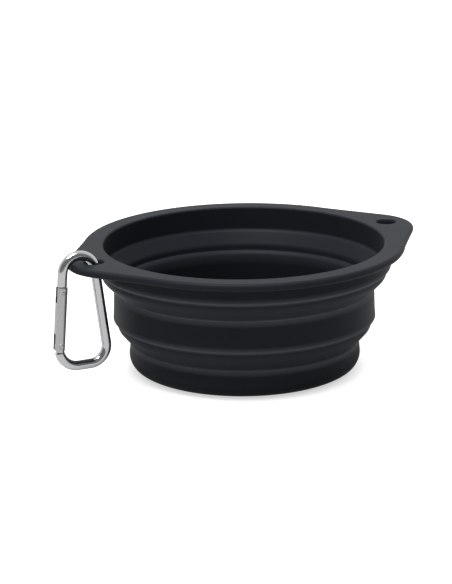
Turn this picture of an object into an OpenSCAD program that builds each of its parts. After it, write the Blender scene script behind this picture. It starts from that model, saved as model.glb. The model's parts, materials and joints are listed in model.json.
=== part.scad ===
// Collapsible bowl of moulded silicone with a snap hook on one ear.
// Three stiff rings are joined by two folding bands. Each band turns inside out,
// so the rings nest and the bowl lies flat. Two ears stand out from the rim: one
// is free to hang the bowl from, and the hook hangs in the hole of the other.
// Lengths are millimetres, Z is up and the origin is the centre of the underside.

/* [Base cup] */
// Outside diameter of the base cup
base_d = 93.2; // [84:0.1:104]
// Height of the base cup's outside wall, up to the lower fold
base_h = 11.3; // [9:0.1:16]
// Radius of the rounded edge under the base cup
foot_r = 7; // [4:0.1:8.5]
// Thickness of the floor
floor_t = 2.4; // [1.6:0.1:3.5]

/* [Rings and folds] */
// Thickness of the silicone wall
wall = 2.4; // [1.8:0.1:2.8]
// Width of each folding band, measured across the radius
fold_step = 4.8; // [4.2:0.1:6.5]
// Angle of the folding bands above the horizontal
fold_slope = 48; // [42:1:52]
// Height of the neck between the lower folding band and the middle ring
lower_neck_h = 1.85; // [0.6:0.05:4]
// Height of the middle ring
middle_h = 12.7; // [10:0.1:18]
// Height of the neck between the upper folding band and the upper ring
upper_neck_h = 0.65; // [0.4:0.05:4]
// Height of the upper ring, from its lower edge to the flange
upper_h = 9.6; // [7:0.1:14]
// Amount by which a ring's wall overhangs the neck below it
lip_step = 1.7; // [1:0.1:2.2]
// Radius of the bend at a ring's lower edge and at the top of a band
bend_r = 4; // [3:0.1:4.6]
// Radius of the bead along the inner top edge of a ring
bead_r = 1.2; // [0.8:0.1:1.3]
// Share of the space beside the next ring's wall that a band's root fills
root_share = 0.82; // [0.65:0.01:0.88]

/* [Rim] */
// Width of the flange outside the upper ring
rim_overhang = 5.9; // [5:0.1:9]
// Thickness of the flange and the ears
rim_t = 3.2; // [2.6:0.1:4]
// Rounding along the outer edges of the flange and the ears
edge_r = 1.2; // [0.5:0.1:1.25]
// Rounding along the mouth
mouth_edge_r = 0.8; // [0.3:0.1:1.1]
// Fillet between the upper ring and the flange
rim_fillet_r = 1; // [0.4:0.1:1.6]

/* [Ears] */
// Distance that an ear stands out beyond the flange
ear_reach = 11; // [9.5:0.1:13]
// Radius of an ear's rounded end
ear_tip_r = 20; // [15:0.5:24]
// Diameter of the hole in an ear
ear_hole_d = 8; // [7.4:0.1:8.6]
// Distance from the hole's centre to the ear's tip
ear_hole_inset = 10.1; // [9.6:0.1:10.6]
// Chamfer round both ends of the hole
ear_hole_chamfer = 0.5; // [0.3:0.1:0.7]
// Width of the flange strip that an ear is carried on
ear_seat_w = 2; // [1.2:0.1:3]

/* [Hook] */
// Diameter of the hook's rod
rod_d = 4; // [3.4:0.1:4.4]
// Bend radius at the rod's centre in the top arch
arch_r = 7; // [6.7:0.1:8]
// Distance from the arch's centre down to the middle of the bottom bar
hook_drop = 38.1; // [36.5:0.1:46]
// Bend radius at the rod's centre in the bottom corner under the spine
spine_corner_r = 7; // [5:0.1:8]
// Bend radius at the rod's centre in the bottom corner under the gate
gate_corner_r = 8; // [7:0.1:8.6]
// Lean of the spine away from the vertical, in degrees
spine_lean = 7.5; // [6:0.5:11]
// Lean of the gate away from the vertical, in degrees
gate_lean = 4.5; // [3:0.5:6]
// Share of the ear's lip, from the hole to the tip, at which the arch is centred
hang_share = 0.42; // [0.4:0.01:0.55]
// Height of the ear's top above the arch's centre
arch_lift = 3.6; // [3:0.1:3.8]

/* [Gate] */
// Diameter of the gate
gate_d = 4.7; // [4.2:0.1:5.2]
// Length of plain rod between the arch and the nose
nose_l = 5.2; // [4:0.1:7]
// Distance from the start of the bottom corner up to the gate's pivot
hinge_rise = 0.8; // [0.4:0.1:1.6]
// Distance from the gate's top to the latch pin
latch_drop = 2; // [1.6:0.1:2.6]
// Diameter of the latch pin
latch_pin_d = 1.4; // [1:0.1:1.6]
// Diameter of the hinge rivet
rivet_d = 1.8; // [1.4:0.1:2]
// Thickness of the nose tongue and of the hinge tenon
tongue_t = 1.4; // [1:0.1:1.7]
// Diameter of the bore that holds the gate spring
spring_bore_d = 2.4; // [2:0.1:2.6]
// Length of the gate spring
spring_l = 13; // [9:0.1:14]
// Thickness of the gate spring's wire
spring_wire_d = 0.4; // [0.3:0.05:0.6]

/* [Hidden] */
$fn = 96;
// Steps in each rounded corner of an outline, and in the ears' edges
arc_steps = 8;
ear_arc_steps = 4;
// Overrun of cuts beyond the faces that they open
over = 1;

// Radii of the rings and necks, each carried on the one before it
base_r = base_d/2;
middle_neck_r = base_r + fold_step;
middle_r = middle_neck_r + lip_step;
upper_neck_r = middle_r + fold_step;
upper_r = upper_neck_r + lip_step;
mouth_r = upper_r - wall;
rim_r = upper_r + rim_overhang;

// Rise of a folding band from the ring below to its neck
band_rise = (bend_r + sin(fold_slope)*(fold_step - bend_r))/cos(fold_slope);

// Levels, counted up from the underside
lower_top_z = base_h + band_rise + lower_neck_h;
middle_top_z = lower_top_z + middle_h;
upper_top_z = middle_top_z + band_rise + upper_neck_h;
rim_under_z = upper_top_z + upper_h;
rim_top_z = rim_under_z + rim_t;

// Turn and height of the bend along a ring's lower edge
lip_turn = acos((bend_r - lip_step)/bend_r);
lip_h = bend_r*sin(lip_turn);
// Root of a band, which stays with the ring below: its run and its height
root_run = root_share*(fold_step - wall);
root_h = root_run*tan(fold_slope);

// Ears: centre of the rounded end, centre of the hole, half angle of the sector
ear_tip_x = rim_r + ear_reach - ear_tip_r;
ear_end_x = rim_r + ear_reach;
ear_hole_x = ear_end_x - ear_hole_inset;
ear_seat_r = upper_r + ear_seat_w;
ear_spread_margin = 3;
ear_half_angle = acos((rim_r - ear_tip_r)/ear_tip_x) + ear_spread_margin;

// Hook: the arch is centred over the lip between the ear's hole and its tip
hole_end_x = ear_hole_x + ear_hole_d/2;
lip_x = hole_end_x + hang_share*(ear_end_x - hole_end_x);
arch_z = rim_top_z - arch_lift;
gate_corner_y = -hook_drop + gate_corner_r;
spine_corner_y = -hook_drop + spine_corner_r;
left_corner_x = -(arch_r - gate_corner_r - gate_corner_y*sin(gate_lean))/cos(gate_lean);
right_corner_x = (arch_r - spine_corner_r - spine_corner_y*sin(spine_lean))/cos(spine_lean);
// Straight rod is a hair thinner than the bends and runs a little way into them
bar_ease = 0.02;
bar_lap = 0.3;
bar_d = rod_d - 2*bar_ease;
// Lengths of the straight rod from the arch to each bottom corner
gate_side_l = ((arch_r - gate_corner_r)*sin(gate_lean) - gate_corner_y)/cos(gate_lean);
spine_l = ((arch_r - spine_corner_r)*sin(spine_lean) - spine_corner_y)/cos(spine_lean);

// Gate: distances run down the gate's line from the end of the arch
end_gap = 0.3;
heel_proud = 0.25;
hinge_l = gate_side_l - hinge_rise;
gate_top_l = nose_l + end_gap;
latch_l = gate_top_l + latch_drop;
heel_r = gate_d/2 + heel_proud;
shoulder_l = hinge_l + heel_r + end_gap;
// Turn of the bottom corner at which the rod starts, clear of the gate's heel
shoulder_turn = asin((shoulder_l - hinge_l)/norm([gate_corner_r, hinge_rise]))
    - atan(hinge_rise/gate_corner_r);
slot_gap = 0.2;
slot_w = tongue_t + 2*slot_gap;
tongue_hook_l = 1.1;
notch_w = latch_pin_d + 2*slot_gap;
tongue_end_l = latch_l + notch_w/2 + tongue_hook_l;
tongue_inner_x = 1.2;
tongue_outer_x = -1.6;
slot_back_x = tongue_inner_x + slot_gap;
top_slot_end_l = tongue_end_l + 2*tongue_hook_l;
tenon_r = 1.9;
tenon_half_w = 1.3;
tenon_lap = 0.8;
fork_l = hinge_l - tenon_r - 4*slot_gap;
heel_slot_l = fork_l - 2*tongue_hook_l;
pin_fit = 0.02;
rivet_fit = 0.05;
rivet_proud = 0.15;
spring_gap = 0.1;
spring_end_l = hinge_l - tenon_r - slot_gap;
spring_bore_end_l = spring_end_l - spring_l - slot_gap;

silicone = "#26282b";
silicone_light = "#34363a";
aluminium = "#b9bcc0";
steel = "#8f9397";

// Points of an arc round a centre, from one angle to another
function arc(c, r, a0, a1, steps = arc_steps) =
    [for (i = [0:steps]) let (a = a0 + (a1 - a0)*i/steps) c + r*[cos(a), sin(a)]];

function reversed(v) = [for (i = [len(v) - 1:-1:0]) v[i]];

// Rounded lower edge of a ring: down the wall and in to the neck
function lip_points(r, low_z) = arc([r - bend_r, low_z + lip_h], bend_r, 0, -lip_turn);

// Inner wall of a ring from its lower edge up to the bead's foot
function inner_points(r, low_z) = [[r - lip_step - wall, low_z], [r - wall, low_z + lip_h]];

// Bead and band root on top of a ring, from the inner wall to the outer corner
function ring_top_points(r, top_z) = concat(
    arc([r - wall + bead_r, top_z + root_h], bead_r, 180, 0),
    [[r + root_run, top_z + root_h], [r, top_z]]);

// Outside of a folding band, from its root up to the neck
function band_outer_points(r, z, top_z) = concat(
    [[r + root_run, z + root_h]],
    arc([r + fold_step - bend_r, z + band_rise], bend_r, fold_slope - 90, 0),
    [[r + fold_step, top_z]]);

// Inside of a folding band, from the neck down to the groove beside the bead
function band_inner_points(r, z, top_z) = [
    [r + fold_step - wall, top_z],
    [r + fold_step - wall,
     z + wall*cos(fold_slope) + (fold_step - wall + wall*sin(fold_slope))*tan(fold_slope)],
    [r - wall + 2*bead_r, z + root_h]];

module revolve(points) rotate_extrude() polygon(points);

module folding_band(r, z, top_z) revolve(concat(
    band_outer_points(r, z, top_z),
    band_inner_points(r, z, top_z)));

// Flat disc with rounded edges, as thick as the flange
module rounded_disc(r) revolve(concat(
    [[0, rim_under_z]],
    arc([r - edge_r, rim_under_z + edge_r], edge_r, -90, 0, ear_arc_steps),
    arc([r - edge_r, rim_top_z - edge_r], edge_r, 0, 90, ear_arc_steps),
    [[0, rim_top_z]]));

// Sector of the flange that an ear takes the place of
module ear_sector() rotate([0, 0, -ear_half_angle])
    rotate_extrude(angle = 2*ear_half_angle)
    translate([ear_seat_r, rim_under_z - over])
    square([ear_end_x - ear_seat_r + over, rim_t + 2*over]);

module ear_hole() translate([ear_hole_x, 0, 0]) {
    translate([0, 0, rim_under_z - over]) cylinder(d = ear_hole_d, h = rim_t + 2*over);
    translate([0, 0, rim_top_z - ear_hole_chamfer])
        cylinder(d1 = ear_hole_d, d2 = ear_hole_d + 4*ear_hole_chamfer, h = 2*ear_hole_chamfer);
    translate([0, 0, rim_under_z - ear_hole_chamfer])
        cylinder(d1 = ear_hole_d + 4*ear_hole_chamfer, d2 = ear_hole_d, h = 2*ear_hole_chamfer);
}

module ear() difference() {
    intersection() {
        hull() {
            rounded_disc(rim_r);
            translate([ear_tip_x, 0, 0]) rounded_disc(ear_tip_r);
        }
        ear_sector();
    }
    ear_hole();
}

// Frame of the hook: X towards the bowl, Y up, Z towards the viewer's side
module in_hook() translate([-lip_x, 0, arch_z]) rotate([90, 0, 0]) children();

// Frame of the gate's line: Y points up the line and starts at the arch's end
module in_gate() in_hook() rotate([0, 0, -gate_lean]) translate([-arch_r, 0, 0]) children();

// Round bar along the gate's line between two distances from the arch
module gate_bar(d, from_l, to_l) translate([0, -from_l, 0]) rotate([90, 0, 0])
    cylinder(d = d, h = to_l - from_l);

// Bar across the gate's line, along the pivot's direction
module cross_bar(d, l, at_l) translate([0, -at_l, 0]) cylinder(d = d, h = l, center = true);

// Box on the gate's line, centred on the hook's plane
module gate_box(x0, x1, from_l, to_l, t) translate([x0, -to_l, -t/2])
    cube([x1 - x0, to_l - from_l, t]);

// Bent stretch of rod in the hook's plane
module rod_bend(x, y, r, a0, a1) translate([x, y, 0]) rotate([0, 0, a0])
    rotate_extrude(angle = a1 - a0) translate([r, 0]) circle(d = rod_d);

module base_cup() color(silicone) revolve(concat(
    [[0, 0]],
    arc([base_r - foot_r, foot_r], foot_r, -90, 0),
    reversed(ring_top_points(base_r, base_h)),
    arc([base_r - foot_r, floor_t + foot_r - wall], foot_r - wall, 0, -90),
    [[0, floor_t]]));

module lower_fold() color(silicone_light) folding_band(base_r, base_h, lower_top_z);

module middle_ring() color(silicone) revolve(concat(
    inner_points(middle_r, lower_top_z),
    ring_top_points(middle_r, middle_top_z),
    lip_points(middle_r, lower_top_z)));

module upper_fold() color(silicone_light) folding_band(middle_r, middle_top_z, upper_top_z);

module rim() color(silicone) difference() {
    revolve(concat(
        inner_points(upper_r, upper_top_z),
        arc([mouth_r + mouth_edge_r, rim_top_z - mouth_edge_r], mouth_edge_r, 180, 90),
        arc([rim_r - edge_r, rim_top_z - edge_r], edge_r, 90, 0),
        arc([rim_r - edge_r, rim_under_z + edge_r], edge_r, 0, -90),
        arc([upper_r + rim_fillet_r, rim_under_z - rim_fillet_r], rim_fillet_r, 90, 180),
        lip_points(upper_r, upper_top_z)));
    ear_sector();
    rotate([0, 0, 180]) ear_sector();
}

module carabiner_ear() color(silicone) rotate([0, 0, 180]) ear();

module hanging_ear() color(silicone) ear();

module hook_frame() color(aluminium) {
    in_hook() {
        rod_bend(0, 0, arch_r, spine_lean, 180 - gate_lean);
        rod_bend(right_corner_x, spine_corner_y, spine_corner_r, -90, spine_lean);
        rod_bend(left_corner_x, gate_corner_y, gate_corner_r,
                 180 - gate_lean + shoulder_turn, 270);
        translate([left_corner_x - bar_lap, -hook_drop, 0]) rotate([0, 90, 0])
            cylinder(d = bar_d, h = right_corner_x - left_corner_x + 2*bar_lap);
        rotate([0, 0, spine_lean]) translate([arch_r, 0, 0])
            gate_bar(bar_d, -bar_lap, spine_l + bar_lap);
    }
    in_gate() {
        gate_bar(bar_d, -bar_lap, nose_l);
        difference() {
            gate_box(tongue_outer_x, tongue_inner_x, nose_l - bar_lap, tongue_end_l, tongue_t);
            gate_box(-notch_w/2, tongue_inner_x + over,
                     latch_l - notch_w/2, latch_l + notch_w/2, slot_w);
        }
        difference() {
            union() {
                gate_box(-tenon_half_w, tenon_half_w, hinge_l, shoulder_l + tenon_lap, tongue_t);
                cross_bar(2*tenon_r, tongue_t, hinge_l);
            }
            cross_bar(rivet_d + 2*rivet_fit, slot_w, hinge_l);
        }
    }
}

module gate() color(aluminium) in_gate() difference() {
    union() {
        gate_bar(gate_d, gate_top_l, hinge_l);
        intersection() {
            gate_bar(gate_d, hinge_l, hinge_l + heel_r);
            cross_bar(2*heel_r, gate_d, hinge_l);
        }
    }
    gate_box(-gate_d, slot_back_x, gate_top_l - over, top_slot_end_l, slot_w);
    gate_box(-gate_d, 0, heel_slot_l, fork_l + over, slot_w);
    gate_box(-gate_d, gate_d, fork_l, hinge_l + heel_r + over, slot_w);
    gate_bar(spring_bore_d, spring_bore_end_l, fork_l + over);
    cross_bar(latch_pin_d + 2*pin_fit, 2*gate_d, latch_l);
    cross_bar(rivet_d, 2*gate_d, hinge_l);
}

module latch_pin() color(steel) in_gate() cross_bar(latch_pin_d, gate_d, latch_l);

module hinge_rivet() color(steel) in_gate() cross_bar(rivet_d, gate_d + 2*rivet_proud, hinge_l);

module gate_spring() color(steel) in_gate() difference() {
    gate_bar(spring_bore_d - 2*spring_gap, spring_end_l - spring_l, spring_end_l);
    gate_bar(spring_bore_d - 2*spring_gap - 2*spring_wire_d,
             spring_end_l - spring_l - over, spring_end_l + over);
}

base_cup();
lower_fold();
middle_ring();
upper_fold();
rim();
carabiner_ear();
hanging_ear();
hook_frame();
gate();
latch_pin();
hinge_rivet();
gate_spring();
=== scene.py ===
# %% [markdown]
# # A folding silicone bowl with a snap hook
# The bowl is one silicone moulding: three stiff rings joined by two bands that turn inside
# out, so that the rings nest and the bowl lies flat. A bent rod hook hangs in one of its ears.
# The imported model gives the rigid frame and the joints. This script dresses it: it turns the
# rings and bands, pulls the ears out of the rim, bends the hook from rod, and gives each piece
# the finish of its real material.

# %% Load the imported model
import json
import math

import bmesh
import bpy
from mathutils import Matrix, Vector


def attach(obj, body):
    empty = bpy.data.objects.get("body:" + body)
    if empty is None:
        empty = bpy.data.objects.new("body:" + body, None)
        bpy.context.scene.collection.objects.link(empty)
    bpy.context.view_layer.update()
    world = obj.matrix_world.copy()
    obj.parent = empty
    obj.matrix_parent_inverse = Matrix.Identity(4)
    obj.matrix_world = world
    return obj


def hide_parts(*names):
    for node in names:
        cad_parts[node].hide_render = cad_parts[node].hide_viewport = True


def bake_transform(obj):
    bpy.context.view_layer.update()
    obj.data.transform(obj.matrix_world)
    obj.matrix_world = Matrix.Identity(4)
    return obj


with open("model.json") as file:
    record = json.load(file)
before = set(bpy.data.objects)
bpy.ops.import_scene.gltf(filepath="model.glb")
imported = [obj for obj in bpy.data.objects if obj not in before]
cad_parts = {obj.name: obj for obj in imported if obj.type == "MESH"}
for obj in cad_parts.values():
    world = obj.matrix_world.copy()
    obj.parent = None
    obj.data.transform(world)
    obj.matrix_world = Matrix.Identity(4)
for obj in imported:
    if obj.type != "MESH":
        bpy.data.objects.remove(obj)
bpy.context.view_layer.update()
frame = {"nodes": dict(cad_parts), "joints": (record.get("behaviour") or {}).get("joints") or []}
joints = {joint["name"]: joint for joint in frame["joints"]}
print("nodes:", sorted(frame["nodes"]))
print("joints:", sorted(joints))

# %% [markdown]
# ## The camera
# The picture was taken from about a metre away and a little above the rim, with a long lens.
# The camera could be pushed about until the picture fits, but then nobody could tell why it
# stands there. So it is placed from two angles, a distance and the point that it looks at. A
# small roll keeps the rim as level as it is in the picture.

# %% Camera
MM = 0.001
VIEW_TURN, VIEW_LIFT, VIEW_ROLL = -26.1, 15.9, -0.7
VIEW_DISTANCE = 1100 * MM
FRAME_HEIGHT_PX = 584
PIXELS_PER_MM = 2.459
RIM_LEVEL, FAR_CLIP = 53, 20
RIM_CENTRE_PX, FRAME_CENTRE_PX = (243.6, 241.3), (226.0, 292.0)
SENSOR_WIDTH = 36
rim_centre = Vector((0, 0, RIM_LEVEL * MM))


def direction(turn, lift):
    turn, lift = math.radians(turn), math.radians(lift)
    return Vector((math.sin(turn) * math.cos(lift), -math.cos(turn) * math.cos(lift), math.sin(lift)))


towards_camera = direction(VIEW_TURN, VIEW_LIFT)
camera_data = bpy.data.cameras.new("camera")
camera = bpy.data.objects.new("camera", camera_data)
bpy.context.scene.collection.objects.link(camera)
upright = (-towards_camera).to_track_quat("-Z", "Y").to_matrix()
tilted = upright @ Matrix.Rotation(math.radians(VIEW_ROLL), 3, "Z")
right_px = RIM_CENTRE_PX[0] - FRAME_CENTRE_PX[0]
up_px = FRAME_CENTRE_PX[1] - RIM_CENTRE_PX[1]
look_at = rim_centre - tilted @ Vector((right_px, up_px, 0)) * (MM / PIXELS_PER_MM)
camera.matrix_world = Matrix.Translation(look_at + towards_camera * VIEW_DISTANCE) @ tilted.to_4x4()
camera_data.sensor_width = SENSOR_WIDTH
camera_data.lens = PIXELS_PER_MM / MM * VIEW_DISTANCE * SENSOR_WIDTH / FRAME_HEIGHT_PX
camera_data.clip_end = FAR_CLIP
bpy.context.scene.camera = camera
bpy.context.scene.view_settings.view_transform = "Standard"
print("lens:", round(camera_data.lens, 1), "mm, looking at", [round(x, 4) for x in look_at])

# %% [markdown]
# ## Helpers for colours and nodes
# Colours are written as sRGB hex values, the way a colour picker shows them. Shaders work in
# linear light, so one function converts them. A second one adds a node, sets it and links it.

# %% Colour and node helpers
def linear(hex_colour):
    channels = [int(hex_colour[i:i + 2], 16) / 255 for i in (1, 3, 5)]
    return [c / 12.92 if c <= 0.04045 else ((c + 0.055) / 1.055) ** 2.4 for c in channels] + [1.0]


def add_node(tree, kind, sockets=None, **settings):
    node = tree.nodes.new(kind)
    for name, value in settings.items():
        setattr(node, name, value)
    for name, value in (sockets or {}).items():
        if isinstance(value, bpy.types.NodeSocket):
            tree.links.new(value, node.inputs[name])
        else:
            node.inputs[name].default_value = value
    return node


def new_material(name):
    material = bpy.data.materials.new(name)
    material.use_nodes = True
    return material, material.node_tree, material.node_tree.nodes["Principled BSDF"]


print("mid grey in linear light:", [round(c, 3) for c in linear("#808080")])

# %% [markdown]
# ## Moulded silicone
# Silicone rubber comes out of a finely blasted steel mould, so it is even in colour and
# matte: dark where it is looked at square on, with a velvety sheen where it is seen at a low
# angle, as on the rim. The blasted mould leaves a grain of about a tenth of a millimetre. It
# is drawn three times as coarse here, so that it shows. Handling leaves faint cloudy patches
# a centimetre or two wide, where the skin is duller. Pale lines along the rings' lips and
# shoulders are painted highlights: a lighter colour painted where light catches these edges.
# The outside of the bands is painted a touch paler, a painted stand-in for light thrown up
# from the floor. The lines could be painted by hand on an image. A colour ramp over the
# height paints them from the rings' own sizes, and each ring takes its lines along when it
# moves.

# %% Sizes of the rings
BASE_R, MIDDLE_R, UPPER_R = 46.9, 53.2, 59.5
BASE_SHOULDER, MIDDLE_SHOULDER = 12.05, 34.2
MIDDLE_LIP, UPPER_LIP = 21.6, 43.1
RIM_R, RIM_TOP, RIM_T = 65.5, 53.033, 3.2
WALL, LIP_OUT, LIP_STEP = 2.4, 0.55, 1.7
SHOULDER_IN, SHOULDER_H = 0.6, 1.05
print("ring radii:", BASE_R, MIDDLE_R, UPPER_R, "mm, rim", RIM_R, "mm")

# %% Where the highlights are painted
# Painted highlights: pale lines painted along the lips and shoulders, where light catches these edges.
HIGHLIGHT_REACH, HIGHLIGHT_UNDER, HIGHLIGHT_END, BAND_HIGHLIGHT, BAND_PAINTED_LIGHT = 2.3, 1.7, 0.1, 1.0, 0.09
FULL, LIP_SHARE, LOW_SHARE = 1.0, 0.7, 0.9


# Paints a pale ramp over the height on outward faces only: painted highlight lines at the given levels, on a
# paler base for the bands.
def painted_light_outside(nodes, place, painted_bounce, highlight_levels):
    axes = add_node(nodes, "ShaderNodeSeparateXYZ", {"Vector": place["Object"]}).outputs
    height = add_node(nodes, "ShaderNodeMath", {0: axes["Z"], 1: RIM_TOP * MM}, operation="DIVIDE")
    highlight_ramp = add_node(nodes, "ShaderNodeValToRGB", {"Fac": height.outputs[0]})
    highlight_ramp.color_ramp.elements.remove(highlight_ramp.color_ramp.elements[1])
    highlight_ramp.color_ramp.elements[0].color = (painted_bounce, painted_bounce, painted_bounce, 1)
    for level, below, above, most in highlight_levels:
        for z, strength in ((level - below, painted_bounce), (level, most), (level + above, painted_bounce)):
            highlight_ramp.color_ramp.elements.new(z / RIM_TOP).color = (strength, strength, strength, 1)
    flat = add_node(nodes, "ShaderNodeCombineXYZ", {"X": axes["X"], "Y": axes["Y"]})
    outwards = add_node(nodes, "ShaderNodeVectorMath", {0: flat.outputs[0]}, operation="NORMALIZE")
    facing = add_node(nodes, "ShaderNodeVectorMath", {0: outwards.outputs[0], 1: place["Normal"]},
                      operation="DOT_PRODUCT")
    outside = add_node(nodes, "ShaderNodeMath", {0: facing.outputs["Value"], 1: 0.0},
                       operation="GREATER_THAN")
    return add_node(nodes, "ShaderNodeMath", {0: highlight_ramp.outputs["Color"], 1: outside.outputs[0]},
                    operation="MULTIPLY").outputs[0]


# Levels of the painted highlight lines on the rings and on the bands.
ring_highlights = [(BASE_SHOULDER, HIGHLIGHT_REACH, HIGHLIGHT_END, FULL), (MIDDLE_SHOULDER, HIGHLIGHT_REACH, HIGHLIGHT_END, FULL),
                (MIDDLE_LIP, HIGHLIGHT_UNDER, HIGHLIGHT_REACH, LIP_SHARE), (UPPER_LIP, HIGHLIGHT_UNDER, HIGHLIGHT_REACH, LIP_SHARE)]
band_highlights = [(BASE_SHOULDER, HIGHLIGHT_END, BAND_HIGHLIGHT, LOW_SHARE), (MIDDLE_SHOULDER, HIGHLIGHT_END, BAND_HIGHLIGHT, FULL)]
print("painted highlight levels:", [level for level, *_ in ring_highlights], "mm")

# %% Silicone
CLOUD_SIZE, GRAIN_SIZE, GRAIN_DEPTH = 16, 0.3, 0.05
LEAST_DULL, MOST_DULL = 0.46, 0.56


def moulded_silicone(name, painted_bounce, highlight_levels):
    material, nodes, surface = new_material(name)
    place = add_node(nodes, "ShaderNodeTexCoord").outputs
    clouds = add_node(nodes, "ShaderNodeTexNoise", {
        "Vector": place["Object"], "Scale": 1 / (CLOUD_SIZE * MM), "Detail": 3.0})
    grain = add_node(nodes, "ShaderNodeTexNoise", {
        "Vector": place["Object"], "Scale": 1 / (GRAIN_SIZE * MM), "Detail": 1.0})
    tint = add_node(nodes, "ShaderNodeMix", {"Factor": clouds.outputs["Fac"]}, data_type="RGBA")
    tint.inputs[6].default_value, tint.inputs[7].default_value = linear("#1f2227"), linear("#23262b")
    dull = add_node(nodes, "ShaderNodeMapRange", {
        "Value": clouds.outputs["Fac"], "To Min": LEAST_DULL, "To Max": MOST_DULL})
    bump = add_node(nodes, "ShaderNodeBump", {
        "Height": grain.outputs["Fac"], "Strength": 0.12, "Distance": GRAIN_DEPTH * MM})
    nodes.links.new(dull.outputs["Result"], surface.inputs["Roughness"])
    nodes.links.new(bump.outputs["Normal"], surface.inputs["Normal"])
    surface.inputs["IOR"].default_value = 1.41
    surface.inputs["Specular IOR Level"].default_value = 0.1
    surface.inputs["Sheen Weight"].default_value = 0.016
    surface.inputs["Sheen Roughness"].default_value = 0.4
    # Painted highlights: the ramp mixes the pale colour below into the tint along the lips and shoulders.
    painted_highlight_and_wear = painted_light_outside(nodes, place, painted_bounce, highlight_levels)
    edge = add_node(nodes, "ShaderNodeMix", {"Factor": painted_highlight_and_wear}, data_type="RGBA")
    nodes.links.new(tint.outputs[2], edge.inputs[6])
    edge.inputs[7].default_value = linear("#585b62")
    nodes.links.new(edge.outputs[2], surface.inputs["Base Color"])
    return material


# The rings carry painted highlight lines; the bands' outside is also painted paler, a painted stand-in for
# light from the floor.
ring_silicone = moulded_silicone("moulded_silicone", 0, ring_highlights)
band_silicone = moulded_silicone("moulded_silicone_painted_bounce", BAND_PAINTED_LIGHT, band_highlights)
print("materials:", ring_silicone.name, band_silicone.name)

# %% [markdown]
# ## Turning a ring
# Every ring of the bowl is round, so each one is an outline of a few corners that is spun
# once round the bowl's axis. Then single corners of the outline are rounded with a bevel
# along the whole loop. The outline could be drawn with all its round stretches, but this way
# it stays short, and each radius can be read off. A rounding is a corner, the width of its
# bevel and the number of segments in it.
#
# A finished piece is shaded smooth, except over sharp edges, and told which body it rides on
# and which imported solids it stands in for. A thin cone may come out with its faces turned
# inwards. Its volume is then negative, and the faces are turned round.

# %% Ring helpers
STEPS, MERGE_DISTANCE, SAME_PLACE, SHARP_DEGREES = 360, 1e-7, 2e-6, 35


def turn_ring(corners, closed=True, steps=STEPS):
    bm = bmesh.new()
    verts = [bm.verts.new((r * MM, 0, z * MM)) for r, z in corners]
    for first, second in zip(verts, verts[1:]):
        bm.edges.new((first, second))
    if closed:
        bm.edges.new((verts[-1], verts[0]))
    bmesh.ops.spin(bm, geom=bm.verts[:] + bm.edges[:], cent=(0, 0, 0), axis=(0, 0, 1),
                   angle=2 * math.pi, steps=steps, use_merge=True)
    bmesh.ops.remove_doubles(bm, verts=bm.verts[:], dist=MERGE_DISTANCE)
    return bm


def round_edges(bm, edges, offset, segments, clamp=False):
    bmesh.ops.bevel(bm, geom=edges, offset=offset * MM, offset_type="OFFSET", segments=segments,
                    profile=0.5, affect="EDGES", material=-1, clamp_overlap=clamp)


def loop_at(bm, r, z):
    def here(vert):
        off_r, off_z = vert.co.xy.length - r * MM, vert.co.z - z * MM
        return max(abs(off_r), abs(off_z)) < SAME_PLACE

    return [edge for edge in bm.edges if here(edge.verts[0]) and here(edge.verts[1])]


def round_corners(bm, rounding):
    for (r, z), offset, segments in rounding:
        round_edges(bm, loop_at(bm, r, z), offset, segments)


print("a ring is turned in", STEPS, "steps")


# %% Finishing a piece
def finish_piece(name, bm, material, slot, body, *nodes):
    bmesh.ops.recalc_face_normals(bm, faces=bm.faces[:])
    if bm.calc_volume(signed=True) < 0:
        bmesh.ops.reverse_faces(bm, faces=bm.faces[:])
    mesh = bpy.data.meshes.new(name)
    bm.to_mesh(mesh)
    bm.free()
    mesh.polygons.foreach_set("use_smooth", [True] * len(mesh.polygons))
    mesh.set_sharp_from_angle(angle=math.radians(SHARP_DEGREES))
    mesh.materials.append(material)
    piece = bpy.data.objects.new(name, mesh)
    bpy.context.scene.collection.objects.link(piece)
    piece.modifiers.new("even_shading", "WEIGHTED_NORMAL").keep_sharp = True
    if body:
        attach(piece, body)
    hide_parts(*nodes)
    print(name, "-", len(mesh.polygons), "faces")
    return piece


print("sharp edges: over", SHARP_DEGREES, "degrees")

# %% [markdown]
# ## Base cup
# The base cup is the lowest ring, with the floor. Its wall leans in a little up to a rounded
# shoulder, and the band above starts behind this shoulder. Inside, the top of the cup is a
# broad bead that slopes into the wall, with a soft groove behind it. The middle ring has the
# same top, so one function gives it to both.
#
# The foot has a wide round edge, wider than it is high. One bevel makes an edge that is as
# wide as it is high. So the corner is cut off first, and both corners of the cut are bevelled
# until they meet.

# %% Top of a ring
SHOULDER_ROUND = 1.15
GROOVE_IN, GROOVE_H, GROOVE_ROUND = 0.35, 1.1, 0.8
BEAD_IN, BEAD_DROP, BEAD_ROUND, BEAD_LEAN, BEAD_H, BEAD_FOOT_ROUND = 1.7, 0.5, 1.25, 1.2, 3.2, 1.8


def ring_top(r, z):
    shoulder, groove = (r, z - SHOULDER_H), (r - GROOVE_IN, z + GROOVE_H)
    bead = (r - BEAD_IN, groove[1] - BEAD_DROP)
    bead_foot = (bead[0] - BEAD_LEAN, bead[1] - BEAD_H)
    return [shoulder, (r - SHOULDER_IN, z), groove, bead, bead_foot], \
        [(shoulder, SHOULDER_ROUND, 6), (bead, BEAD_ROUND, 8), (bead_foot, BEAD_FOOT_ROUND, 4)]


base_top, top_rounding = ring_top(BASE_R, BASE_SHOULDER)
print("top of the base cup:", [(round(r, 2), round(z, 2)) for r, z in base_top])

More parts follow.
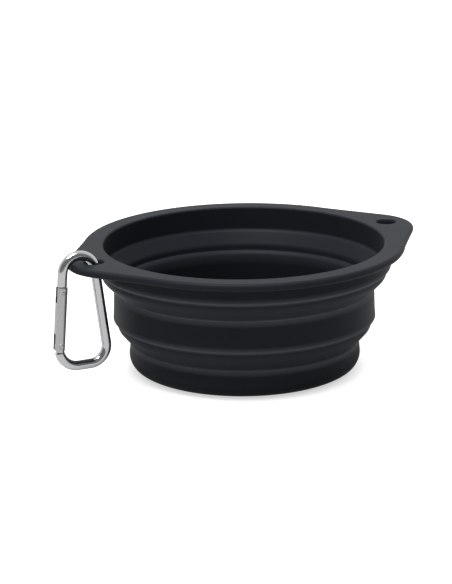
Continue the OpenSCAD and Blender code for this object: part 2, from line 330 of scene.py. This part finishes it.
# %% Base cup
FOOT_OUT, FOOT_W, FOOT_H, FLOOR_T, FLOOR_ROUND = 0.7, 8.4, 6.7, 2.4, 4.3
FOOT_BEVEL_SHARE = 0.996
foot_r, cut = BASE_R + FOOT_OUT, 2 - math.sqrt(2)
foot_low, foot_high = (foot_r - FOOT_W * cut, 0), (foot_r, FOOT_H * cut)
floor_corner = (BASE_R - WALL, FLOOR_T)
bm = turn_ring([(0, 0), foot_low, foot_high] + base_top + [floor_corner, (0, FLOOR_T)], closed=False)
foot_round = FOOT_BEVEL_SHARE * math.dist(foot_low, foot_high) / 2
round_corners(bm, top_rounding + [(foot_low, foot_round, 9), (foot_high, foot_round, 9),
                                  (floor_corner, FLOOR_ROUND, 10)])
finish_piece("base_cup_skin", bm, ring_silicone, "silicone", "base", "base_cup")

# %% [markdown]
# ## Folding bands
# A band is the flexible cone between two rings. It slopes outwards, bends up with a wide
# radius into a short neck and ends under the lip of the next ring. The real band turns inside
# out when the bowl is pressed flat. An armature could bend it; here it rides on no ring's body
# and stays where it is built.

# %% Lower and upper band
NECK_DROP, SEAM_IN, STEP_IN, STEP_H, BEND_ROUND = 1.7, 1.7, 0.3, 3.3, 1.4
LOWER_SLOPE, UPPER_SLOPE = math.radians(48.5), math.radians(45.5)


def folding_band(name, r, shoulder, upper_r, lip, slope, node):
    foot, groove = (r - SHOULDER_IN, shoulder), (r - GROOVE_IN, shoulder + GROOVE_H)
    neck_r, neck_top = upper_r + LIP_OUT - LIP_STEP, lip - NECK_DROP
    bend = (neck_r, shoulder + (neck_r - foot[0]) * math.tan(slope))
    step = (r - STEP_IN, shoulder + STEP_H)
    seam = (upper_r - WALL - SEAM_IN, neck_top)
    band = turn_ring([foot, bend, (neck_r, neck_top), seam, step, groove])
    round_corners(band, [(bend, BEND_ROUND, 8), (step, GROOVE_ROUND, 4)])
    return finish_piece(name, band, band_silicone, "silicone", None, node)


lower_band = folding_band("lower_fold_skin", BASE_R, BASE_SHOULDER, MIDDLE_R, MIDDLE_LIP, LOWER_SLOPE,
                          "lower_fold")
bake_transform(lower_band)
upper_band = folding_band("upper_fold_skin", MIDDLE_R, MIDDLE_SHOULDER, UPPER_R, UPPER_LIP, UPPER_SLOPE,
                          "upper_fold")
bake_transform(upper_band)

# %% [markdown]
# ## Middle ring
# The middle ring is a plain wall between a shoulder like the base cup's and a lip, which
# overhangs the band below it. The wall flares a little down to the edge of the lip, and a
# fillet leads from the lip back to the band's neck. The ring could have one outline of its
# own, but the rim has the same lip. So a second function gives the lip, and the outline is
# put together from the lip and the top.

# %% Middle ring
LIP_EDGE, LIP_FILLET, FLARE_H, FLARE_OUT, LIP_UNDER = 0.9, 0.75, 2.5, 0.25, 0.3
LEDGE_H, LEDGE_IN, LEDGE_DROP = 0.3, 0.9, 0.5
FLARE_ROUND, LEDGE_ROUND, LEDGE_TOP_ROUND = 1.2, 0.4, 0.6


def ring_lip(r, z):
    lip_r = r + LIP_OUT
    neck_r = lip_r - LIP_STEP
    fillet, edge = (neck_r, z - LIP_UNDER), (lip_r, z)
    flare = (r + FLARE_OUT, z + FLARE_H)
    inner_r = r - WALL
    ledge_high, ledge_low = (inner_r, z + LEDGE_H), (inner_r - LEDGE_IN, z - LEDGE_DROP)
    return [(neck_r, z - NECK_DROP), fillet, edge, flare], \
        [ledge_high, ledge_low, (inner_r - SEAM_IN, z - NECK_DROP)], \
        [(fillet, LIP_FILLET, 6), (edge, LIP_EDGE, 6), (flare, FLARE_ROUND, 5), (ledge_low, LEDGE_ROUND, 4),
         (ledge_high, LEDGE_TOP_ROUND, 4)]


middle_top, top_rounding = ring_top(MIDDLE_R, MIDDLE_SHOULDER)
outer_lip, inner_lip, lip_rounding = ring_lip(MIDDLE_R, MIDDLE_LIP)
bm = turn_ring(outer_lip + middle_top + inner_lip)
round_corners(bm, top_rounding + lip_rounding)
finish_piece("middle_ring_skin", bm, ring_silicone, "silicone", "middle", "middle_ring")

# %% [markdown]
# ## Rim and ears
# The upper ring has the same lip. It ends in a flat flange, and the flange reaches out into
# two ears. The ears could be plates that are joined on, but the moulding shows no seam there.
# So the ring is turned first, and then the flange's outer edge is pulled out to the ears'
# outline: a round tip with straight flanks that run back to the rim and join it in a slight
# hollow. The edges are rounded after that, all in one go. The holes are cut last, with a
# turned cutter whose ends flare, so that their edges come out rounded.

# %% Outline of the flange
EAR_TIP_R, EAR_TIP_X = 20.0, 56.5
FLANK_DISTANCE, HOLLOW, HOLLOW_FADE = 65.15, 0.22, 4.0
flank_angle = math.acos((FLANK_DISTANCE - EAR_TIP_R) / EAR_TIP_X)
tip_end = math.atan2(EAR_TIP_R * math.sin(flank_angle), EAR_TIP_X + EAR_TIP_R * math.cos(flank_angle))


def outline_radius(angle):
    turned = min(angle % math.pi, math.pi - angle % math.pi)
    if turned < tip_end:
        across = EAR_TIP_X * math.sin(turned)
        return EAR_TIP_X * math.cos(turned) + math.sqrt(EAR_TIP_R ** 2 - across ** 2)
    past_flank = max(0, turned - flank_angle)
    beyond = FLANK_DISTANCE / math.cos(max(0, flank_angle - turned)) - RIM_R - HOLLOW_FADE * past_flank
    return RIM_R + HOLLOW * math.log(1 + math.exp(beyond / HOLLOW))


print("ears reach", outline_radius(0), "mm from the axis")

# %% Rim with ears
EDGE_R, MOUTH_EDGE_R, FILLET_R = 1.4, 0.8, 1.0
under_z = RIM_TOP - RIM_T
outer_lip, inner_lip, lip_rounding = ring_lip(UPPER_R, UPPER_LIP)
flange_corner, mouth_corner = (UPPER_R, under_z), (UPPER_R - WALL, RIM_TOP)
edge_corners = [(RIM_R, under_z), (RIM_R, RIM_TOP)]
bm = turn_ring(outer_lip + [flange_corner] + edge_corners + [mouth_corner] + inner_lip)
edge_loops = [loop_at(bm, r, z) for r, z in edge_corners]
for vert in {vert for loop in edge_loops for edge in loop for vert in edge.verts}:
    angle = math.atan2(vert.co.y, vert.co.x)
    vert.co.xy = Vector((math.cos(angle), math.sin(angle))) * outline_radius(angle) * MM
for loop in edge_loops:
    round_edges(bm, loop, EDGE_R, 6)
round_corners(bm, lip_rounding + [(flange_corner, FILLET_R, 5), (mouth_corner, MOUTH_EDGE_R, 5)])
rim = finish_piece("rim_skin", bm, ring_silicone, "silicone", "rim", "rim", "carabiner_ear", "hanging_ear")

# %% Holes in the ears
HOLE_R, HOLE_X, HOLE_EDGE, HOLE_ROUND, FLARE, OVERRUN, HOLE_STEPS = 4.0, 66.4, 0.5, 0.45, 1.4, 1.0, 96
cut_low, cut_high = under_z - OVERRUN, RIM_TOP + OVERRUN
low_edge, high_edge = (HOLE_R, under_z + HOLE_EDGE), (HOLE_R, RIM_TOP - HOLE_EDGE)
cutter = turn_ring([(0, cut_low), (HOLE_R + FLARE, cut_low), low_edge, high_edge, (HOLE_R + FLARE, cut_high),
                    (0, cut_high)], closed=False, steps=HOLE_STEPS)
round_corners(cutter, [(low_edge, HOLE_ROUND, 4), (high_edge, HOLE_ROUND, 4)])
bmesh.ops.recalc_face_normals(cutter, faces=cutter.faces[:])
cutter_mesh = bpy.data.meshes.new("hole_cutter")
cutter.to_mesh(cutter_mesh)
cutter.free()
for side in (-1, 1):
    tool = bpy.data.objects.new("hole_cutter", cutter_mesh)
    tool.location.x = side * HOLE_X * MM
    bpy.context.scene.collection.objects.link(tool)
    hole = rim.modifiers.new("hole", "BOOLEAN")
    hole.operation, hole.solver, hole.object = "DIFFERENCE", "EXACT", tool
    with bpy.context.temp_override(object=rim, active_object=rim):
        bpy.ops.object.modifier_move_to_index(modifier=hole.name, index=0)
        bpy.ops.object.modifier_apply(modifier=hole.name)
    bpy.data.objects.remove(tool)
rim.data.polygons.foreach_set("use_smooth", [True] * len(rim.data.polygons))
rim.data.set_sharp_from_angle(angle=math.radians(SHARP_DEGREES))
print("rim with holes:", len(rim.data.polygons), "faces")

# %% [markdown]
# ## Metals of the hook
# The hook is bent from drawn aluminium rod and tumbled bright: a clear reflection that is a
# little soft, with faint wear marks about a millimetre wide. The gate is tumbled duller, so
# it looks an even grey. The pins and the spring are drawn steel, a shade darker. One function
# makes all three, because they differ only in colour, roughness and the size of the marks.

# %% Aluminium and steel
WEAR, MARK_DEPTH = 0.06, 0.03


def bright_metal(name, colour, roughness, mark_size):
    material, nodes, surface = new_material(name)
    spot = add_node(nodes, "ShaderNodeTexCoord").outputs["Object"]
    marks = add_node(nodes, "ShaderNodeTexNoise", {
        "Vector": spot, "Scale": 1 / (mark_size * MM), "Detail": 3.0})
    painted_highlight_and_wear = add_node(nodes, "ShaderNodeMapRange", {
        "Value": marks.outputs["Fac"], "To Min": roughness - WEAR, "To Max": roughness + WEAR})
    dents = add_node(nodes, "ShaderNodeBump", {
        "Height": marks.outputs["Fac"], "Strength": 0.08, "Distance": MARK_DEPTH * MM})
    nodes.links.new(painted_highlight_and_wear.outputs["Result"], surface.inputs["Roughness"])
    nodes.links.new(dents.outputs["Normal"], surface.inputs["Normal"])
    surface.inputs["Base Color"].default_value = linear(colour)
    surface.inputs["Metallic"].default_value = 1.0
    print("material:", name)
    return material


tumbled = bright_metal("tumbled_aluminium_rod", "#bcbdbf", roughness=0.17, mark_size=1.2)
satin = bright_metal("satin_drawn_aluminium", "#b4b6b7", roughness=0.36, mark_size=0.7)
steel = bright_metal("bright_drawn_steel", "#a8abae", roughness=0.25, mark_size=0.7)

# %% [markdown]
# ## Bending the rod
# The rod could be a curve with a round bevel. Here it is bent the way a wire bender does it:
# a ring of points starts at the nose, and each move either pushes it straight on or swings it
# round a bend. So every straight and every bend radius is a number of its own. All bends turn
# the same way, from the nose over the arch, down the spine and round the bottom to the hinge.

# %% Measures along the hook
ROD_R, ARCH_R, HOOK_DROP, NOSE_L = 2.0, 7.0, 38.1, 5.2
SPINE_CORNER_R, GATE_CORNER_R = 7.0, 8.0
SPINE_LEAN, GATE_LEAN = math.radians(7.5), math.radians(4.5)
arch_centre = Vector(joints["hook_swing"]["pos_m"])
pivot = Vector(joints["gate_swing"]["pos_m"])
gate_down = Vector((-math.sin(GATE_LEAN), 0, -math.cos(GATE_LEAN)))
gate_across = Vector((math.cos(GATE_LEAN), 0, -math.sin(GATE_LEAN)))
gate_start = arch_centre - gate_across * ARCH_R * MM
hinge_l = (pivot - gate_start).dot(gate_down) / MM


def on_gate(across, along, aside=0.0):
    return gate_start + (gate_across * across + gate_down * along + Vector((0, aside, 0))) * MM


print("from the arch to the hinge:", round(hinge_l, 2), "mm")

# %% Pushing and bending
BEND_STEP_DEGREES, LEAST_STEPS = 3, 8


def push_on(bm, ring, spot, heading, length):
    grown = bmesh.ops.extrude_edge_only(bm, edges=ring)["geom"]
    verts = {item for item in grown if isinstance(item, bmesh.types.BMVert)}
    bmesh.ops.translate(bm, verts=list(verts), vec=heading * length * MM)
    edges = [item for item in grown if isinstance(item, bmesh.types.BMEdge)]
    return [edge for edge in edges if set(edge.verts) <= verts], spot + heading * length * MM, heading


def swing_round(bm, ring, spot, heading, radius, angle):
    centre = spot + Vector((heading.z, 0, -heading.x)) * radius * MM
    steps = max(LEAST_STEPS, round(math.degrees(angle) / BEND_STEP_DEGREES))
    last = bmesh.ops.spin(bm, geom=ring, cent=centre, axis=(0, 1, 0), angle=angle, steps=steps)["geom_last"]
    swung = Matrix.Rotation(angle, 3, "Y")
    return ([item for item in last if isinstance(item, bmesh.types.BMEdge)],
            centre + swung @ (spot - centre), swung @ heading)


print("a bend has a step every", BEND_STEP_DEGREES, "degrees")

# %% Rod of the hook
HEEL_REACH, END_ROUND, ROD_SIDES = 2.9, 0.3, 48
gate_corner_z, spine_corner_z = GATE_CORNER_R - HOOK_DROP, SPINE_CORNER_R - HOOK_DROP
left_x = -(ARCH_R - GATE_CORNER_R - gate_corner_z * math.sin(GATE_LEAN)) / math.cos(GATE_LEAN)
right_x = (ARCH_R - SPINE_CORNER_R - spine_corner_z * math.sin(SPINE_LEAN)) / math.cos(SPINE_LEAN)
spine_l = ((ARCH_R - SPINE_CORNER_R) * math.sin(SPINE_LEAN) - spine_corner_z) / math.cos(SPINE_LEAN)
hinge_rise = ((ARCH_R - GATE_CORNER_R) * math.sin(GATE_LEAN) - gate_corner_z) / math.cos(GATE_LEAN) - hinge_l
shoulder_turn = (math.asin(HEEL_REACH / math.hypot(GATE_CORNER_R, hinge_rise))
                 - math.atan(hinge_rise / GATE_CORNER_R))

rod = bmesh.new()
up_gate = (-gate_down).to_track_quat("Z", "Y").to_matrix().to_4x4()
bmesh.ops.create_circle(rod, segments=ROD_SIDES, radius=ROD_R * MM,
                        matrix=Matrix.Translation(on_gate(0, NOSE_L)) @ up_gate)
state = (rod.edges[:], on_gate(0, NOSE_L), -gate_down)
state = push_on(rod, *state, NOSE_L)
state = swing_round(rod, *state, ARCH_R, math.pi - GATE_LEAN - SPINE_LEAN)
state = push_on(rod, *state, spine_l)
state = swing_round(rod, *state, SPINE_CORNER_R, math.pi / 2 + SPINE_LEAN)
state = push_on(rod, *state, right_x - left_x)
state = swing_round(rod, *state, GATE_CORNER_R, math.pi / 2 + GATE_LEAN - shoulder_turn)
ends = bmesh.ops.holes_fill(rod, edges=[edge for edge in rod.edges if edge.is_boundary])["faces"]
round_edges(rod, [edge for face in ends for edge in face.edges], END_ROUND, 3)
print("rod:", len(rod.faces), "faces, from the nose to the hinge")

# %% [markdown]
# ## Tongue and tenon
# Both ends of the rod are milled down to a flat plate. At the nose the plate is a small hook,
# the tongue, which catches the latch pin. At the hinge it is a round-ended tenon between the
# two cheeks of the gate. Both are mostly hidden while the gate is shut. Each is an outline
# that is extruded to the plate's thickness and has its edges broken.

# %% Tongue of the nose
TONGUE_IN, TONGUE_OUT, NOTCH_W, TONGUE_HOOK_L, LATCH_DROP, GAP = 1.2, -1.6, 1.8, 1.1, 2.0, 0.3
TONGUE_T, PLATE_ROUND = 1.4, 0.15
latch_l = NOSE_L + GAP + LATCH_DROP
tongue_end = latch_l + NOTCH_W / 2 + TONGUE_HOOK_L


def mill_plate(bm, outline):
    verts = [bm.verts.new(on_gate(across, along, -TONGUE_T / 2)) for across, along in outline]
    face = bm.faces.new(verts)
    grown = bmesh.ops.extrude_face_region(bm, geom=[face])["geom"]
    far = [item for item in grown if isinstance(item, bmesh.types.BMVert)]
    bmesh.ops.translate(bm, verts=far, vec=(0, TONGUE_T * MM, 0))
    plate = {edge for vert in verts + far for edge in vert.link_edges}
    round_edges(bm, list(plate), PLATE_ROUND, 2)


mill_plate(rod, [(TONGUE_OUT, NOSE_L - GAP), (TONGUE_OUT, tongue_end), (TONGUE_IN, tongue_end),
                 (TONGUE_IN, latch_l + NOTCH_W / 2), (-NOTCH_W / 2, latch_l + NOTCH_W / 2),
                 (-NOTCH_W / 2, latch_l - NOTCH_W / 2), (TONGUE_IN, latch_l - NOTCH_W / 2),
                 (TONGUE_IN, NOSE_L - GAP)])
print("tongue: to", round(tongue_end, 2), "mm from the arch")

# %% Tenon of the hinge
TENON_R, TENON_HALF_W, TENON_LAP, TENON_STEPS = 1.9, 1.3, 0.8, 16
tenon_end = hinge_l + HEEL_REACH + TENON_LAP
tenon_side = math.asin(TENON_HALF_W / TENON_R)
tenon_arc = [math.pi + tenon_side - i / TENON_STEPS * (math.pi + 2 * tenon_side)
             for i in range(TENON_STEPS + 1)]
mill_plate(rod, [(TENON_R * math.cos(a), hinge_l - TENON_R * math.sin(a)) for a in tenon_arc]
           + [(TENON_HALF_W, tenon_end), (-TENON_HALF_W, tenon_end)])
finish_piece("hook_frame_skin", rod, tumbled, "aluminium", "hook", "hook_frame")

# %% [markdown]
# ## Gate
# The gate is turned, bored and slotted. It could be cut from a cylinder again, but the packed
# solid already has its slots, bore and pin holes. So a copy of that is taken, and its sharp
# machined edges are broken with a small bevel, as tumbling does, so that they catch the light.

# %% Gate
GATE_EDGE, GATE_MERGE, FLAT_DEGREES = 0.16, 1e-6, 1
bm = bmesh.new()
bm.from_mesh(frame["nodes"]["gate"].data)
bmesh.ops.remove_doubles(bm, verts=bm.verts[:], dist=GATE_MERGE)
bmesh.ops.dissolve_limit(bm, angle_limit=math.radians(FLAT_DEGREES), verts=bm.verts[:], edges=bm.edges[:])
crisp = [edge for edge in bm.edges
         if edge.is_manifold and edge.calc_face_angle(0) > math.radians(SHARP_DEGREES)]
round_edges(bm, crisp, GATE_EDGE, 2, clamp=True)
finish_piece("gate_skin", bm, satin, "aluminium", "gate", "gate")

# %% [markdown]
# ## Pins and spring
# The latch pin and the hinge rivet cross the gate and end flush with its sides, slightly
# domed. They are turned like the rings and then laid across the gate. The spring is a real
# coil: a small ring of points is spun round the bore's axis while it moves along it. A Screw
# modifier would do the same, but the operator leaves a finished mesh.

# %% Pins
GATE_R, LATCH_PIN_R, RIVET_R, RIVET_PROUD, PIN_DOME, PIN_STEPS = 2.35, 0.7, 0.9, 0.1, 0.25, 32


def cross_pin(name, along, radius, half_length, node):
    pin = turn_ring([(0, -half_length), (radius, -half_length), (radius, half_length), (0, half_length)],
                    closed=False, steps=PIN_STEPS)
    round_corners(pin, [((radius, -half_length), PIN_DOME, 4), ((radius, half_length), PIN_DOME, 4)])
    across = Matrix.Translation(on_gate(0, along)) @ Matrix.Rotation(math.pi / 2, 4, "X")
    bmesh.ops.transform(pin, matrix=across, verts=pin.verts[:])
    finish_piece(name, pin, steel, "steel", "gate", node)


cross_pin("latch_pin_skin", latch_l, LATCH_PIN_R, GATE_R, "latch_pin")
cross_pin("hinge_rivet_skin", hinge_l, RIVET_R, GATE_R + RIVET_PROUD, "hinge_rivet")

# %% Coil spring
COIL_R, WIRE_R, SPRING_L, TURNS, SPRING_GAP = 0.9, 0.2, 13.0, 15, 2.1
TURN_STEPS, WIRE_SIDES = 24, 8
coil = bmesh.new()
wire_place = Matrix.Translation((COIL_R * MM, 0, 0)) @ Matrix.Rotation(math.pi / 2, 4, "X")
bmesh.ops.create_circle(coil, segments=WIRE_SIDES, radius=WIRE_R * MM, matrix=wire_place)
rise = (SPRING_L - 2 * WIRE_R) * MM / (TURNS * TURN_STEPS)
bmesh.ops.spin(coil, geom=coil.edges[:], cent=(0, 0, 0), axis=(0, 0, 1), dvec=(0, 0, rise),
               angle=2 * math.pi * TURNS, steps=TURNS * TURN_STEPS)
bmesh.ops.holes_fill(coil, edges=[edge for edge in coil.edges if edge.is_boundary])
coil_foot = on_gate(0, hinge_l - SPRING_GAP - WIRE_R)
bmesh.ops.transform(coil, matrix=Matrix.Translation(coil_foot) @ up_gate, verts=coil.verts[:])
finish_piece("gate_spring_skin", coil, steel, "steel", "gate", "gate_spring")

# %% [markdown]
# ## Floor
# The floor is a pale sheet that throws some of the light back up under the lips and bands. It
# could be lit until it is white, but then the bowl would be too bright. So it glows, and only
# the camera sees all of this glow. The glow fades a few millimetres from the foot, where
# little light gets in, and so a thin shadow stays there.

# %% Floor
FLOOR_GLOW, SHADE_GLOW, SHADE_REACH, MIRROR_GLOW = 0.93, 0.55, 4.5, 0.2
FLOOR_R, FLOOR_SIDES = 6.0, 96


def ray_kinds(tree):
    rays = add_node(tree, "ShaderNodeLightPath").outputs
    mirrored = add_node(tree, "ShaderNodeMath", {0: rays["Is Glossy Ray"], 1: rays["Is Transmission Ray"]},
                        operation="MAXIMUM")
    return rays["Is Camera Ray"], mirrored.outputs[0]


paper, tree, shader = new_material("white_paper_sweep")
shader.inputs["Base Color"].default_value = linear("#c8c8c8")
shader.inputs["Roughness"].default_value = 0.9
shader.inputs["Specular IOR Level"].default_value = 0.0
by_camera, by_mirror = ray_kinds(tree)
faint = add_node(tree, "ShaderNodeMath", {0: by_mirror, 1: MIRROR_GLOW}, operation="MULTIPLY")
open_sky = add_node(tree, "ShaderNodeAmbientOcclusion", {"Distance": SHADE_REACH * MM}).outputs["AO"]
lit = add_node(tree, "ShaderNodeMapRange", {"Value": open_sky, "To Min": SHADE_GLOW, "To Max": FLOOR_GLOW})
glow = add_node(tree, "ShaderNodeMath", {0: by_camera, 1: lit.outputs[0], 2: faint.outputs[0]},
                operation="MULTIPLY_ADD")
white = add_node(tree, "ShaderNodeEmission", {"Strength": glow.outputs[0]})
both = add_node(tree, "ShaderNodeAddShader", {0: shader.outputs[0], 1: white.outputs[0]})
tree.links.new(both.outputs[0], tree.nodes["Material Output"].inputs["Surface"])
bm = bmesh.new()
bmesh.ops.create_circle(bm, cap_ends=True, segments=FLOOR_SIDES, radius=FLOOR_R)
floor_mesh = bpy.data.meshes.new("floor")
bm.to_mesh(floor_mesh)
bm.free()
floor_mesh.materials.append(paper)
floor = bpy.data.objects.new("floor", floor_mesh)
bpy.context.scene.collection.objects.link(floor)
print("floor:", FLOOR_R, "m in radius")

# %% [markdown]
# ## Room and lamp
# The room is white behind the bowl and dimmer on the camera's side. The bright metal shows
# both, and that gives the hook its dark streaks. Panels round the bowl would do the same, but
# a ramp over the direction needs no objects. One large soft lamp hangs high at the front left,
# as over a product table.

# %% Room
SKY_LEVEL, ROOM_LEVEL, DIMS_FROM, DIMS_TO = 0.24, 0.18, -0.1, 0.4
world = bpy.data.worlds.new("studio")
bpy.context.scene.world = world
world.use_nodes = True
tree = world.node_tree
by_camera, by_mirror = ray_kinds(tree)
sight = add_node(tree, "ShaderNodeTexCoord").outputs["Generated"]
heading = add_node(tree, "ShaderNodeVectorMath", {0: sight, 1: direction(VIEW_TURN, 0)},
                   operation="DOT_PRODUCT")
room = add_node(tree, "ShaderNodeMapRange", {
    "Value": heading.outputs["Value"], "From Min": DIMS_FROM, "From Max": DIMS_TO,
    "To Min": 1.0, "To Max": ROOM_LEVEL})
reflected = add_node(tree, "ShaderNodeMath", {0: by_mirror, 1: room.outputs["Result"]}, operation="MULTIPLY")
seen = add_node(tree, "ShaderNodeMath", {0: by_camera, 1: reflected.outputs[0]}, operation="MAXIMUM")
level = add_node(tree, "ShaderNodeMath", {0: seen.outputs[0], 1: SKY_LEVEL}, operation="MAXIMUM")
tree.links.new(level.outputs[0], tree.nodes["Background"].inputs["Strength"])
tree.nodes["Background"].inputs["Color"].default_value = (1, 1, 1, 1)
print("room: white behind,", ROOM_LEVEL, "of white on the camera's side")

# %% Lamp
LAMP_WATTS, LAMP_SIZE, LAMP_DISTANCE, LAMP_LIFT, LAMP_LEFT = 32, 0.8, 1.6, 75, 40
lamp_data = bpy.data.lights.new("softbox", "AREA")
lamp_data.shape, lamp_data.size = "SQUARE", LAMP_SIZE
lamp_data.energy = LAMP_WATTS
lamp = bpy.data.objects.new("softbox", lamp_data)
lamp.location = direction(VIEW_TURN - LAMP_LEFT, LAMP_LIFT) * LAMP_DISTANCE
lamp.rotation_euler = (-lamp.location).to_track_quat("-Z", "Y").to_euler()
bpy.context.scene.collection.objects.link(lamp)
print("lamp:", LAMP_WATTS, "W,", LAMP_SIZE, "m wide, high at the front left")
